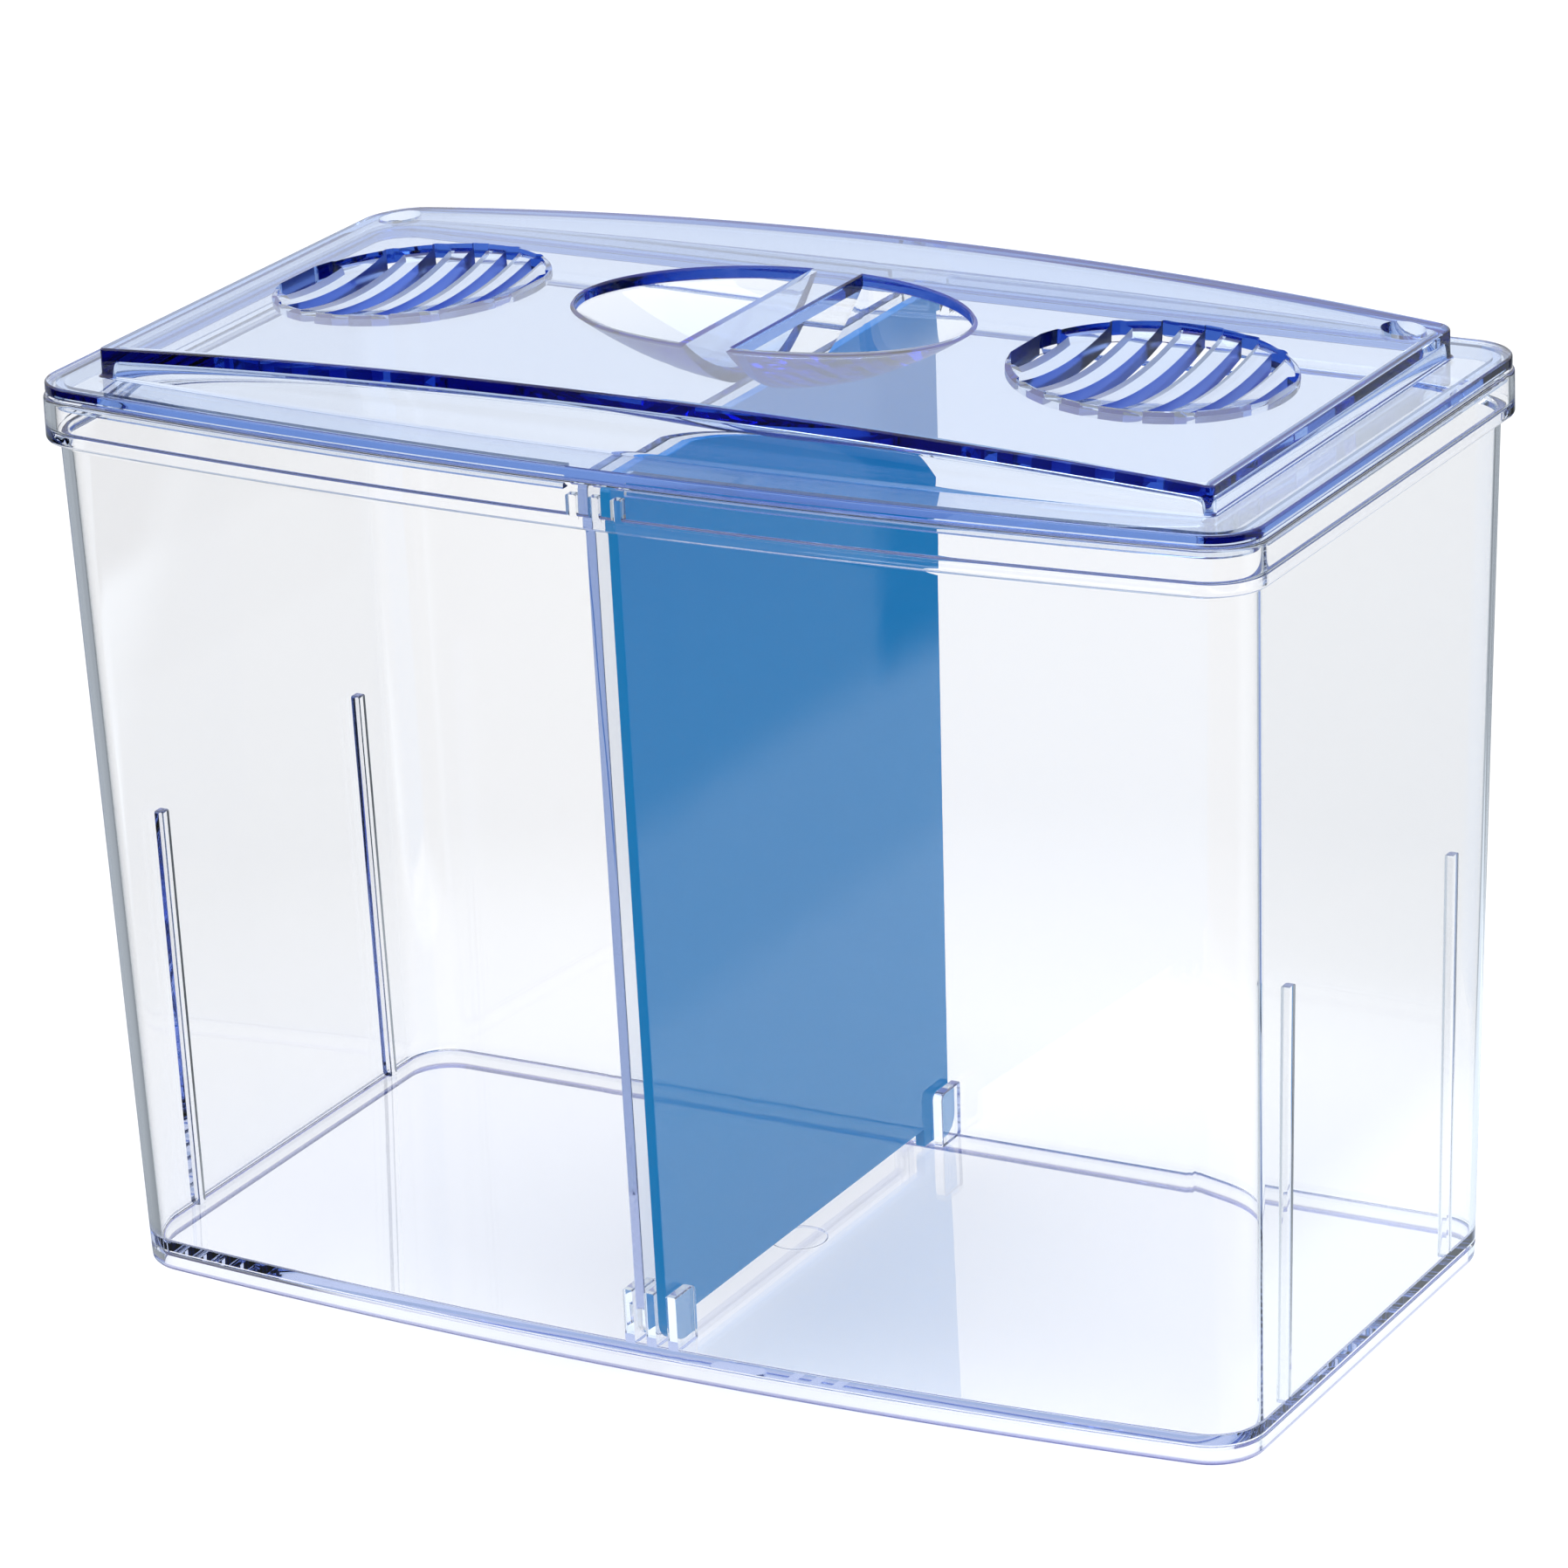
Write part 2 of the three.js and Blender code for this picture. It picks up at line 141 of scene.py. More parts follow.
# Lid
SEAT_GAP = 0.3
FLANGE_THICK = 2.2
FLANGE_INSET = 0.4
FLANGE_ROUND = 0.5
SHEET = 2.8
DOME_INSET = 10.2
DOME_WALL = 2.0
DOME_END = 5.2
DOME_RISE = 5.3
DOME_CORNER = 1.4
DOME_BACK_RIGHT = 3.2
DOME_BACK_LEFT = 9.0
DOME_ROUND = 0.45
DOME_ROOT = 0.7
CEILING_ROUND = 4.2
CEILING_REACH = 1.0
MOUTH_FLARE = 0.8
MOUTH_SHARES = ((0.0, 1.0), (0.125, 0.5), (0.5, 0.125), (1.0, 0.0))
LIP_GAP = 0.4
LIP_THICK = 1.5
LIP_DEPTH = 2.3
LIP_POST_GAP = 0.6
AIR_HOLE_RADIUS = 4.0
AIR_HOLE_INSET = 7.0

# Vents
VENT_X = 74.64
VENT_RADIUS = 24.5
VENT_STEP = 0.9
VENT_DISH = 3.6
VENT_PLATE = 3.5
SLAT_PITCH = 7.6
SLAT_WIDTH = 4.1
SLOT_COUNT = 7
SLOT_PAST = 0.3
SLOT_LIMIT = 0.7

# Grip, two finger bowls with a bar between them
GRIP_LENGTH = 75.6
GRIP_DEPTH = 49.0
BAR_GAP = 0.45
BAR_WALL = 1.6
BOWL_WALL = 0.8
BOWL_STEP = 2.0
BOWL_DISH = 10.8
SHELL_DISH = 12.8
BOWL_ROUND = 0.5
BOWL_OPEN = 80
BOWL_MIDDLE_SHARE = 0.4
BOWL_FIRST_SHARE = 0.06

# How far cutting and joining shapes run past the faces that they meet
OVERRUN = 1.0
SLOT_CUT = 30.0
BORE_CUT = 40.0
DOME_CLEAR = 20.0
BOWL_CLEAR = 2.0
BELOW_VAULT = 100.0

# Steps in each kind of curve
CORNER_STEPS = 14
FRONT_STEPS = 200
ROUND_STEPS = 96
SMALL_ROUND_STEPS = 48
BOWL_STEPS = 96
BAR_STEPS = 48
BOWL_RINGS = 18
DISH_POINTS = 20
EDGE_SEGMENTS = 3

# Angles in degrees at which an edge is rounded or shaded as an edge
SOFT_EDGE_ANGLE = 40
SHARP_EDGE_ANGLE = 60
SHADED_EDGE_ANGLE = 32
LEAST_RADIUS = 0.3

# Lines that several pieces share
HALF_LENGTH = RIM_LENGTH / 2
HALF_DEPTH = RIM_DEPTH / 2
BOW_RADIUS = (HALF_LENGTH ** 2 + BOW_RISE ** 2) / (2 * BOW_RISE)
MIDDLE_Y = BOW_RISE / 2
COLLAR_FOOT = RIM_HEIGHT - COLLAR_HEIGHT
LEDGE = RIM_HEIGHT - LEDGE_DEPTH
SLOT_PITCH = SLOT_WIDTH + POST_WIDTH
LID_FOOT = RIM_HEIGHT + SEAT_GAP
DOME_HALF = HALF_LENGTH - DOME_INSET
DOME_CROWN = FLANGE_THICK + DOME_END + DOME_RISE
VAULT_RADIUS = (DOME_HALF ** 2 + DOME_RISE ** 2) / (2 * DOME_RISE)
DISH_RADIUS = (VENT_RADIUS ** 2 + VENT_DISH ** 2) / (2 * VENT_DISH)
BAR_HALF = SLOT_PITCH / 2 + DIVIDER_THICK / 2 + BAR_GAP + BAR_WALL


def wall_inset(height):
    """How far the outside of the wall is drawn in from the rim's outline."""
    return COLLAR_STEP + DRAFT * (1 - height / COLLAR_FOOT)


def inner_inset(height):
    """How far the inside of the wall is drawn in from the rim's outline."""
    return wall_inset(height) + WALL


def vault(x):
    """Height of the dome's top over the lid's seat."""
    return DOME_CROWN - VAULT_RADIUS + np.sqrt(VAULT_RADIUS ** 2 - np.asarray(x) ** 2)


# Colours and nodes
def linear(code):
    """sRGB hex to a linear colour."""
    parts = [int(code[i:i + 2], 16) / 255 for i in (1, 3, 5)]
    return [c / 12.92 if c <= 0.04045 else ((c + 0.055) / 1.055) ** 2.4 for c in parts] + [1.0]


def add(tree, kind, settings=None, inputs=None):
    """Adds a node. A setting is an attribute, and an input takes a value or the socket that feeds it."""
    node = tree.nodes.new(kind)
    for key, value in (settings or {}).items():
        setattr(node, key, value)
    for key, value in (inputs or {}).items():
        if isinstance(value, bpy.types.NodeSocket):
            tree.links.new(value, node.inputs[key])
        else:
            node.inputs[key].default_value = value
    return node


def new_material(name):
    """An empty material and its node tree."""
    material = bpy.data.materials.new(name)
    material.use_nodes = True
    material.node_tree.nodes.clear()
    return material, material.node_tree


# Outlines and meshes
def arc(cx, cy, radius, start, end, steps):
    """Points round a circle from one angle to another, in radians."""
    t = np.linspace(start, end, steps + 1)
    return np.stack([cx + radius * np.cos(t), cy + radius * np.sin(t)], 1)


def quarter(reach, rise, steps, end=90):
    """(shift, lift) pairs round a hollow edge: from (0, rise) they run to (reach, 0) at 90 degrees."""
    return [(reach * (1 - math.cos(a)), rise * (1 - math.sin(a)))
            for a in np.radians(np.linspace(0, end, steps + 1))]


def plan_outline(inset, radius, back_right=None, back_left=None):
    """The rim's outline drawn in by inset, counter-clockwise. The back has as many points as the front,
    and its corners may have radii of their own."""
    back_right = back_right or radius
    back_left = back_left or radius
    end_x = HALF_LENGTH - inset
    back_y = HALF_DEPTH - inset
    bow = BOW_RADIUS - inset
    bow_y = BOW_RADIUS - HALF_DEPTH
    corner_x = end_x - radius
    corner_y = bow_y - math.sqrt((bow - radius) ** 2 - corner_x ** 2)
    touch = math.atan2(bow_y - corner_y, corner_x)
    front = arc(0, bow_y, bow, math.pi + touch, 2 * math.pi - touch, FRONT_STEPS)[1:-1]
    back_x = np.linspace(end_x - back_right, back_left - end_x, FRONT_STEPS + 1)[1:-1]
    back = np.stack([back_x, np.full(len(back_x), back_y)], 1)
    return np.concatenate([
        arc(end_x - back_right, back_y - back_right, back_right, 0, math.pi / 2, CORNER_STEPS),
        back,
        arc(back_left - end_x, back_y - back_left, back_left, math.pi / 2, math.pi, CORNER_STEPS),
        arc(-corner_x, corner_y, radius, math.pi, math.pi + touch, CORNER_STEPS),
        front,
        arc(corner_x, corner_y, radius, 2 * math.pi - touch, 2 * math.pi, CORNER_STEPS),
    ])


def cap_faces(n):
    """Strips across a plan outline, from its back points to the front points opposite them."""
    corner = CORNER_STEPS + 1
    between = FRONT_STEPS - 1
    front_start = 3 * corner + between
    pairs = (
        (range(corner - 1, corner + between + 1), range(front_start + between, front_start - 2, -1)),
        (range(corner), range(n - 1, front_start + between - 1, -1)),
        (range(corner + between, 2 * corner + between),
         range(front_start - 1, 2 * corner + between - 1, -1)),
    )
    return [(back[i], back[i + 1], front[i + 1], front[i])
            for back, front in pairs for i in range(len(back) - 1)]


def mesh_object(name, points, faces):
    """An object at the origin whose mesh has the points, given in mm."""
    mesh = bpy.data.meshes.new(name)
    mesh.from_pydata([tuple(p) for p in np.asarray(points, float) * MM], [], faces)
    mesh.validate()
    obj = bpy.data.objects.new(name, mesh)
    bpy.context.scene.collection.objects.link(obj)
    return obj


def loft(name, stops):
    """A closed skin through plan outlines. A stop is (inset, height or function of x, corner radius), with
    the back corners' radii where they differ. Both ends are capped with strips from front to back."""
    points = []
    faces = []
    for inset, height, *radii in stops:
        ring = plan_outline(inset, *radii)
        z = height(ring[:, 0]) if callable(height) else np.full(len(ring), float(height))
        points.append(np.column_stack([ring, z]))
    n = len(points[0])
    for i in range(len(points) - 1):
        low = i * n
        for j in range(n):
            k = (j + 1) % n
            faces.append((low + j, low + k, low + n + k, low + n + j))
    for start, flip in ((0, True), ((len(points) - 1) * n, False)):
        for face in cap_faces(n):
            face = tuple(start + v for v in face)
            faces.append(face[::-1] if flip else face)
    return mesh_object(name, np.concatenate(points), faces)


def prism(name, outline, place):
    """A closed outline as seen from its far side, given a thickness: place maps (u, v, end) to a point."""
    n = len(outline)
    points = [place(u, v, end) for end in (0, 1) for u, v in outline]
    faces = [tuple(range(n))[::-1], tuple(range(n, 2 * n))]
    faces += [(i, (i + 1) % n, n + (i + 1) % n, n + i) for i in range(n)]
    obj = mesh_object(name, points, faces)
    outward(obj)
    return obj


def box(name, low, high):
    """A box between two opposite corners."""
    (x0, y0, z0), (x1, y1, z1) = low, high
    return prism(name, [(x0, y0), (x1, y0), (x1, y1), (x0, y1)], lambda u, v, end: (u, v, (z0, z1)[end]))


def disc(name, radius, x, y, low, high, steps=SMALL_ROUND_STEPS):
    """An upright round bar."""
    around = np.linspace(0, 2 * math.pi, steps, endpoint=False)
    return prism(name, [(x + radius * math.cos(a), y + radius * math.sin(a)) for a in around],
                 lambda u, v, end: (u, v, (low, high)[end]))


def lathed(name, profile):
    """A body turned about Z from (radius, height) points, of which the first and last are on the axis."""
    around = np.linspace(0, 2 * math.pi, ROUND_STEPS, endpoint=False)
    points = []
    rows = []
    for radius, height in profile:
        first = len(points)
        if radius == 0:
            points.append((0.0, 0.0, height))
        else:
            points += [(radius * math.cos(a), radius * math.sin(a), height) for a in around]
        rows.append(range(first, len(points)))
    faces = []
    for low, high in zip(rows, rows[1:]):
        for j in range(ROUND_STEPS):
            k = (j + 1) % ROUND_STEPS
            if len(low) == 1:
                faces.append((low[0], high[j], high[k]))
            elif len(high) == 1:
                faces.append((low[j], low[k], high[0]))
            else:
                faces.append((low[j], low[k], high[k], high[j]))
    obj = mesh_object(name, points, faces)
    outward(obj)
    return obj


def outward(obj):
    """Turns the faces of a closed mesh outwards."""
    bm = bmesh.new()
    bm.from_mesh(obj.data)
    bmesh.ops.recalc_face_normals(bm, faces=bm.faces)
    bm.to_mesh(obj.data)
    bm.free()


def moved(obj, matrix):
    """Moves the mesh, so that its object stays at the origin."""
    obj.data.transform(matrix)
    return obj


def settle(obj):
    """Applies the object's modifiers, which are then gone."""
    graph = bpy.context.evaluated_depsgraph_get()
    mesh = bpy.data.meshes.new_from_object(obj.evaluated_get(graph), depsgraph=graph)
    obj.modifiers.clear()
    obj.data = mesh


def rounded(obj, width, angle=SOFT_EDGE_ANGLE):
    """Rounds the edges that turn by more than the angle."""
    bevel = obj.modifiers.new("bevel", "BEVEL")
    bevel.width = width * MM
    bevel.segments = EDGE_SEGMENTS
    bevel.limit_method = "ANGLE"
    bevel.angle_limit = math.radians(angle)
    bevel.use_clamp_overlap = True
    settle(obj)
    return obj


def combine(obj, other, operation):
    """Joins the other object to the first or cuts it out, and removes it."""
    change = obj.modifiers.new("combine", "BOOLEAN")
    change.operation = operation
    change.solver = "MANIFOLD"
    change.object = other
    settle(obj)
    bpy.data.objects.remove(other)


def finish_shading(obj):
    """Smooth shading with sharp edges, led by the large faces."""
    mesh = obj.data
    mesh.polygons.foreach_set("use_smooth", [True] * len(mesh.polygons))
    mesh.set_sharp_from_angle(angle=math.radians(SHADED_EDGE_ANGLE))
    even = obj.modifiers.new("even", "WEIGHTED_NORMAL")
    even.keep_sharp = True
    even.mode = "FACE_AREA"
    settle(obj)


# Rows of equal pieces
def row_tree():
    """Geometry nodes: the piece repeated in a straight row that is centred on the place it was made. In a
    row along X, Round makes the pieces shorter in Y towards both ends, as a circle of that radius does."""
    tree = bpy.data.node_groups.new("row of equal pieces", "GeometryNodeTree")
    kinds = {
        "Piece": "NodeSocketGeometry",
        "Count": "NodeSocketInt",
        "Step": "NodeSocketVector",
        "Round": "NodeSocketFloat",
        "Material": "NodeSocketMaterial",
    }
    sockets = {name: tree.interface.new_socket(name, in_out="INPUT", socket_type=kind).identifier
               for name, kind in kinds.items()}
    tree.interface.new_socket("Row", in_out="OUTPUT", socket_type="NodeSocketGeometry")
    given = add(tree, "NodeGroupInput").outputs
    gaps = add(tree, "ShaderNodeMath", {"operation": "SUBTRACT"}, {0: given["Count"], 1: 1.0})
    back = add(tree, "ShaderNodeMath", {"operation": "MULTIPLY"}, {0: gaps.outputs[0], 1: -0.5})
    start = add(tree, "ShaderNodeVectorMath", {"operation": "SCALE"},
                {0: given["Step"], "Scale": back.outputs[0]})
    line = add(tree, "GeometryNodeMeshLine", {"mode": "OFFSET"},
               {"Count": given["Count"], "Start Location": start.outputs[0], "Offset": given["Step"]})
    where = add(tree, "GeometryNodeInputPosition")
    along = add(tree, "ShaderNodeSeparateXYZ", inputs={0: where.outputs[0]})
    share = add(tree, "ShaderNodeMath", {"operation": "DIVIDE"}, {0: along.outputs["X"], 1: given["Round"]})
    square = add(tree, "ShaderNodeMath", {"operation": "MULTIPLY"},
                 {0: share.outputs[0], 1: share.outputs[0]})
    rest = add(tree, "ShaderNodeMath", {"operation": "SUBTRACT"}, {0: 1.0, 1: square.outputs[0]})
    length = add(tree, "ShaderNodeMath", {"operation": "SQRT"}, {0: rest.outputs[0]})
    size = add(tree, "ShaderNodeCombineXYZ", inputs={0: 1.0, 1: length.outputs[0], 2: 1.0})
    placed = add(tree, "GeometryNodeInstanceOnPoints",
                 inputs={"Points": line.outputs[0], "Instance": given["Piece"], "Scale": size.outputs[0]})
    real = add(tree, "GeometryNodeRealizeInstances", inputs={"Geometry": placed.outputs[0]})
    coated = add(tree, "GeometryNodeSetMaterial",
                 inputs={"Geometry": real.outputs[0], "Material": given["Material"]})
    add(tree, "NodeGroupOutput", inputs={0: coated.outputs[0]})
    return tree, sockets


def in_row(obj, count, step, material, circle=0.0):
    """The object's mesh repeated count times, with a step in mm, within a circle if one is given."""
    repeat = obj.modifiers.new("row", "NODES")
    repeat.node_group = ROW_TREE
    repeat[ROW_SOCKETS["Count"]] = count
    repeat[ROW_SOCKETS["Step"]] = [v * MM for v in step]
    repeat[ROW_SOCKETS["Round"]] = circle * MM
    repeat[ROW_SOCKETS["Material"]] = material
    settle(obj)
    return obj


# Tank
def fillet(inset, height, radius, size, start, end, steps=5):
    """Stops round an edge. The arc's centre is at inset and height, and angle 0 points outwards."""
    stops = []
    for a in np.linspace(math.radians(start), math.radians(end), steps + 1):
        out = inset - size * math.cos(a)
        stops.append((out, height + size * math.sin(a), max(radius - (out - inset), LEAST_RADIUS)))
    return stops


def foot_stops():
    """The foot ring, from the floor's underside down, round the bottom edge and up to the groove."""
    outside = wall_inset(0)
    inside = outside + FOOT_WALL
    stops = [(inside, FLOOR_UNDER, CORNER - FOOT_WALL),
             (inside, FOOT_BREAK, CORNER - FOOT_WALL),
             (inside - FOOT_BREAK, 0.0, CORNER - FOOT_WALL + FOOT_BREAK)]
    stops += fillet(outside + FOOT_ROUND, FOOT_ROUND, CORNER - FOOT_ROUND, FOOT_ROUND, start=-90, end=0)
    for height, depth in ((FLOOR_UNDER - GROOVE_HALF, 0.0), (FLOOR_UNDER, GROOVE_DEPTH),
                          (FLOOR_UNDER + GROOVE_HALF, 0.0)):
        stops.append((wall_inset(height) + depth, height, CORNER))
    return stops


def collar_stops():
    """The wall's top, the collar, the rim over it and the ledge inside it."""
    root = COLLAR_FOOT - COLLAR_ROOT_DROP
    stops = [(wall_inset(root), root, CORNER), (COLLAR_STEP - COLLAR_ROOT_REACH, COLLAR_FOOT, CORNER)]
    stops += fillet(COLLAR_ROUND, COLLAR_FOOT + COLLAR_SLOPE + COLLAR_ROUND_RISE,
                    CORNER - COLLAR_ROUND, COLLAR_ROUND, start=-60, end=0, steps=4)
    stops += fillet(RIM_ROUND, RIM_HEIGHT - RIM_ROUND, CORNER - RIM_ROUND, RIM_ROUND,
                    start=0, end=90, steps=4)
    inner = CORNER - COLLAR_WALL
    stops += fillet(COLLAR_WALL - RIM_INNER_ROUND, RIM_HEIGHT - RIM_INNER_ROUND,
                    inner + RIM_INNER_ROUND, RIM_INNER_ROUND, start=90, end=180, steps=3)
    for shift, lift in quarter(LEDGE_FILLET, LEDGE_FILLET, steps=4):
        stops.append((COLLAR_WALL + shift, LEDGE + lift, inner - shift))
    edge = inner_inset(LEDGE - LEDGE_SINK)
    for reach, drop in ((LEDGE_EDGE, 0.0), (LEDGE_EDGE_MIDDLE, LEDGE_EDGE_MIDDLE), (0.0, LEDGE_EDGE)):
        stops.append((edge - reach, LEDGE - drop, CORNER - WALL + reach))
    return stops


def floor_stops():
    """The round at the bottom of the inside, down to the floor."""
    base = inner_inset(FLOOR + FLOOR_ROUND)
    return [(base + shift, FLOOR + lift, CORNER - WALL - shift)
            for shift, lift in quarter(FLOOR_ROUND, FLOOR_ROUND, steps=6)]


def build_tank(material):
    """One moulding: foot ring, walls, collar, ledge and floor, with its ribs, slot posts and fingers."""
    tank = loft("tank_clear", foot_stops() + collar_stops() + floor_stops())
    for side in (-1, 1):
        combine(tank, in_row(slot_post(side), POST_COUNT, (SLOT_PITCH, 0, 0), material), "UNION")
        combine(tank, in_row(finger(side), POST_COUNT, (SLOT_PITCH, 0, 0), material), "UNION")
        combine(tank, in_row(rib(side), RIB_COUNT, (0, RIB_SPACING, 0), material), "UNION")
    gate = disc("gate", GATE_RADIUS, 0, 0, FLOOR_UNDER - OVERRUN, FLOOR_UNDER + GATE_DEPTH)
    combine(tank, rounded(gate, GATE_ROUND, SHARP_EDGE_ANGLE), "DIFFERENCE")
    finish_shading(tank)
    return tank


def slot_post(side):
    """A post between the divider slots at the rim, on the ledge."""
    outer = side * (HALF_DEPTH - COLLAR_WALL + OVERRUN)
    inner = side * (HALF_DEPTH - inner_inset(COLLAR_FOOT))
    low, high = sorted((outer, inner))
    half = POST_WIDTH / 2
    top = RIM_HEIGHT - POST_DROP
    return rounded(box("post", (-half, low, LEDGE - OVERRUN), (half, high, top)), POST_ROUND)


def finger(side):
    """A finger between the divider slots on the floor, with a rounded nose."""
    top = FLOOR + FINGER_HEIGHT
    foot = FLOOR - OVERRUN
    tip = side * (HALF_DEPTH - inner_inset(FLOOR) - FINGER_LENGTH)
    start = math.pi if side > 0 else 0.0
    nose = arc(tip + side * FINGER_NOSE, top - FINGER_NOSE, FINGER_NOSE, start, math.pi / 2, steps=8)
    outline = [(side * (HALF_DEPTH - inner_inset(foot) + OVERRUN), foot), (tip, foot)]
    outline += [tuple(p) for p in nose]
    outline += [(side * (HALF_DEPTH - inner_inset(top) + OVERRUN), top)]
    body = prism("finger", outline, lambda u, v, end: ((end - 0.5) * POST_WIDTH, u, v))
    return rounded(body, FINGER_ROUND)


def rib(side):
    """A stacking rib up the inside of an end wall, which follows the wall's draft."""
    foot = FLOOR - OVERRUN
    low = side * (HALF_LENGTH - inner_inset(foot))
    high = side * (HALF_LENGTH - inner_inset(RIB_TOP))
    outline = [(low + side * OVERRUN, foot), (high + side * OVERRUN, RIB_TOP),
               (high - side * RIB_DEPTH, RIB_TOP), (low - side * RIB_DEPTH, foot)]
    body = prism("rib", outline, lambda u, v, end: (u, MIDDLE_Y + (end - 0.5) * RIB_WIDTH, v))
    return rounded(body, RIB_ROUND)


# Dividers
def build_divider(name, x):
    """A plate that stands on a foot at each bottom corner and hangs by an ear at each top corner."""
    foot = FLOOR + DIVIDER_LIFT
    top = RIM_HEIGHT - DIVIDER_DROP
    foot_y = HALF_DEPTH - inner_inset(foot) - DIVIDER_GAP
    shoulder_y = HALF_DEPTH - inner_inset(LEDGE) - DIVIDER_GAP
    ear_y = HALF_DEPTH - COLLAR_WALL - EAR_GAP
    ear_foot = LEDGE + EAR_SEAT
    half = [(foot_y - DIVIDER_FOOT_LENGTH, foot + PASSAGE), (foot_y - DIVIDER_FOOT_LENGTH, foot)]
    half += [tuple(p) for p in arc(foot_y - DIVIDER_CORNER, foot + DIVIDER_CORNER, DIVIDER_CORNER,
                                   -math.pi / 2, 0, steps=12)]
    half += [(shoulder_y, ear_foot), (ear_y, ear_foot)]
    half += [tuple(p) for p in arc(ear_y - EAR_CORNER, top - EAR_CORNER, EAR_CORNER,
                                   0, math.pi / 2, steps=6)]
    outline = half + [(-u, v) for u, v in reversed(half)]
    plate = prism(name, outline, lambda u, v, end: (x + (end - 0.5) * DIVIDER_THICK, u, v))
    rounded(plate, DIVIDER_ROUND, SHARP_EDGE_ANGLE)
    finish_shading(plate)
    return plate


# Lid
def dome_under(drop):
    """The vault's height as a function of x, lowered by a drop."""
    return lambda x: LID_FOOT + vault(x) - drop


def dome_corners(shift):
    """Corner radii of the dome's outline drawn in by a shift: front, back right, back left."""
    return DOME_CORNER - shift, DOME_BACK_RIGHT - shift, DOME_BACK_LEFT - shift


def lid_skin():
    """Flange and dome as one sheet, from the middle of the ceiling down, under the flange and back up."""
    seat = LID_FOOT
    wall = DOME_INSET + DOME_WALL
    hollow = (DOME_CORNER, DOME_CORNER, DOME_BACK_LEFT - DOME_WALL)
    corner = CORNER - FLANGE_INSET - FLANGE_ROUND
    edge = FLANGE_INSET + FLANGE_ROUND
    stops = [(wall + shift, dome_under(SHEET + lift), *hollow)
             for shift, lift in reversed(quarter(CEILING_REACH, CEILING_ROUND, steps=12))]
    stops += [(wall - out * MOUTH_FLARE, seat + rise * MOUTH_FLARE, *hollow) for out, rise in MOUTH_SHARES]
    stops += fillet(edge, seat + FLANGE_ROUND, corner, FLANGE_ROUND, start=-90, end=0, steps=4)
    stops += fillet(edge, seat + FLANGE_THICK - FLANGE_ROUND, corner, FLANGE_ROUND,
                    start=0, end=90, steps=4)
    stops += [(DOME_INSET - out, seat + FLANGE_THICK + rise, *dome_corners(-out))
              for rise, out in quarter(DOME_ROOT, DOME_ROOT, steps=5)]
    stops += [(DOME_INSET + shift, dome_under(lift), *dome_corners(shift))
              for shift, lift in quarter(DOME_ROUND, DOME_ROUND, steps=4)]
    return loft("lid_blue", stops)


def lip():
    """The lid's lip inside the collar, with a break for the slot posts at the front and the back."""
    outside = COLLAR_WALL + LIP_GAP
    inside = outside + LIP_THICK
    low = LID_FOOT - LIP_DEPTH
    high = LID_FOOT + OVERRUN
    band = loft("lip", [(outside, z, CORNER - outside) for z in (low, high)])
    hollow = loft("hollow", [(inside, z, CORNER - inside) for z in (low - OVERRUN, high + OVERRUN)])
    combine(band, hollow, "DIFFERENCE")
    half = SLOT_PITCH + POST_WIDTH / 2 + LIP_POST_GAP
    gap = box("gap", (-half, -HALF_DEPTH, low - OVERRUN), (half, HALF_DEPTH, high + OVERRUN))
    combine(band, gap, "DIFFERENCE")
    return band


def vent_frame(side):
    """Places a shape made round the origin on the vault at a vent's middle, tilted with the vault."""
    x = side * VENT_X
    middle = Vector((x, MIDDLE_Y, LID_FOOT + float(vault(x)))) * MM
    return Matrix.Translation(middle) @ Matrix.Rotation(math.asin(x / VAULT_RADIUS), 4, "Y")


def vent_bore(side, grow=0.0):
    """A round hole right through the dome at a vent."""
    bore = disc("bore", VENT_RADIUS + grow, 0, 0, -BORE_CUT, BORE_CUT, ROUND_STEPS)
    return moved(bore, vent_frame(side))


def vent_cup(side):
    """The grille's plate, dished on both sides so that it is of even thickness, within the dome."""
    top = [(r, DISH_RADIUS - math.sqrt(DISH_RADIUS ** 2 - r ** 2) - VENT_STEP - VENT_DISH)
           for r in np.linspace(0, VENT_RADIUS + OVERRUN, DISH_POINTS)]
    profile = [(r, z - VENT_PLATE) for r, z in top] + top[::-1]
    cup = moved(lathed("cup", profile), vent_frame(side))
    limit = loft("limit", [(DOME_INSET, z, DOME_CORNER) for z in (BELOW_VAULT, dome_under(0.0))])
    combine(cup, limit, "INTERSECT")
    return cup


def vent_slots(side, material):
    """Slots with flat ends, which stand out a little past the grille's rim."""
    half = (SLAT_PITCH - SLAT_WIDTH) / 2
    reach = VENT_RADIUS + SLOT_PAST
    slots = box("slots", (-half, -reach, -SLOT_CUT), (half, reach, SLOT_CUT))
    in_row(slots, SLOT_COUNT, (SLAT_PITCH, 0, 0), material, reach)
    moved(slots, vent_frame(side))
    combine(slots, vent_bore(side, SLOT_LIMIT), "INTERSECT")
    return slots


def coat_slots(lid, material):
    """Gives the long walls of the slots a material of their own."""
    square_on = 0.9999
    lid.data.materials.append(material)
    lid.data.polygons.foreach_set("material_index", [0] * len(lid.data.polygons))
    for side in (-1, 1):
        to_vent = vent_frame(side).inverted()
        for face in lid.data.polygons:
            centre = to_vent @ face.center / MM
            facing = (to_vent.to_3x3() @ face.normal).normalized()
            near = math.hypot(centre.x, centre.y) < VENT_RADIUS + SLOT_LIMIT
            if near and abs(facing.x) > square_on:
                face.material_index = 1


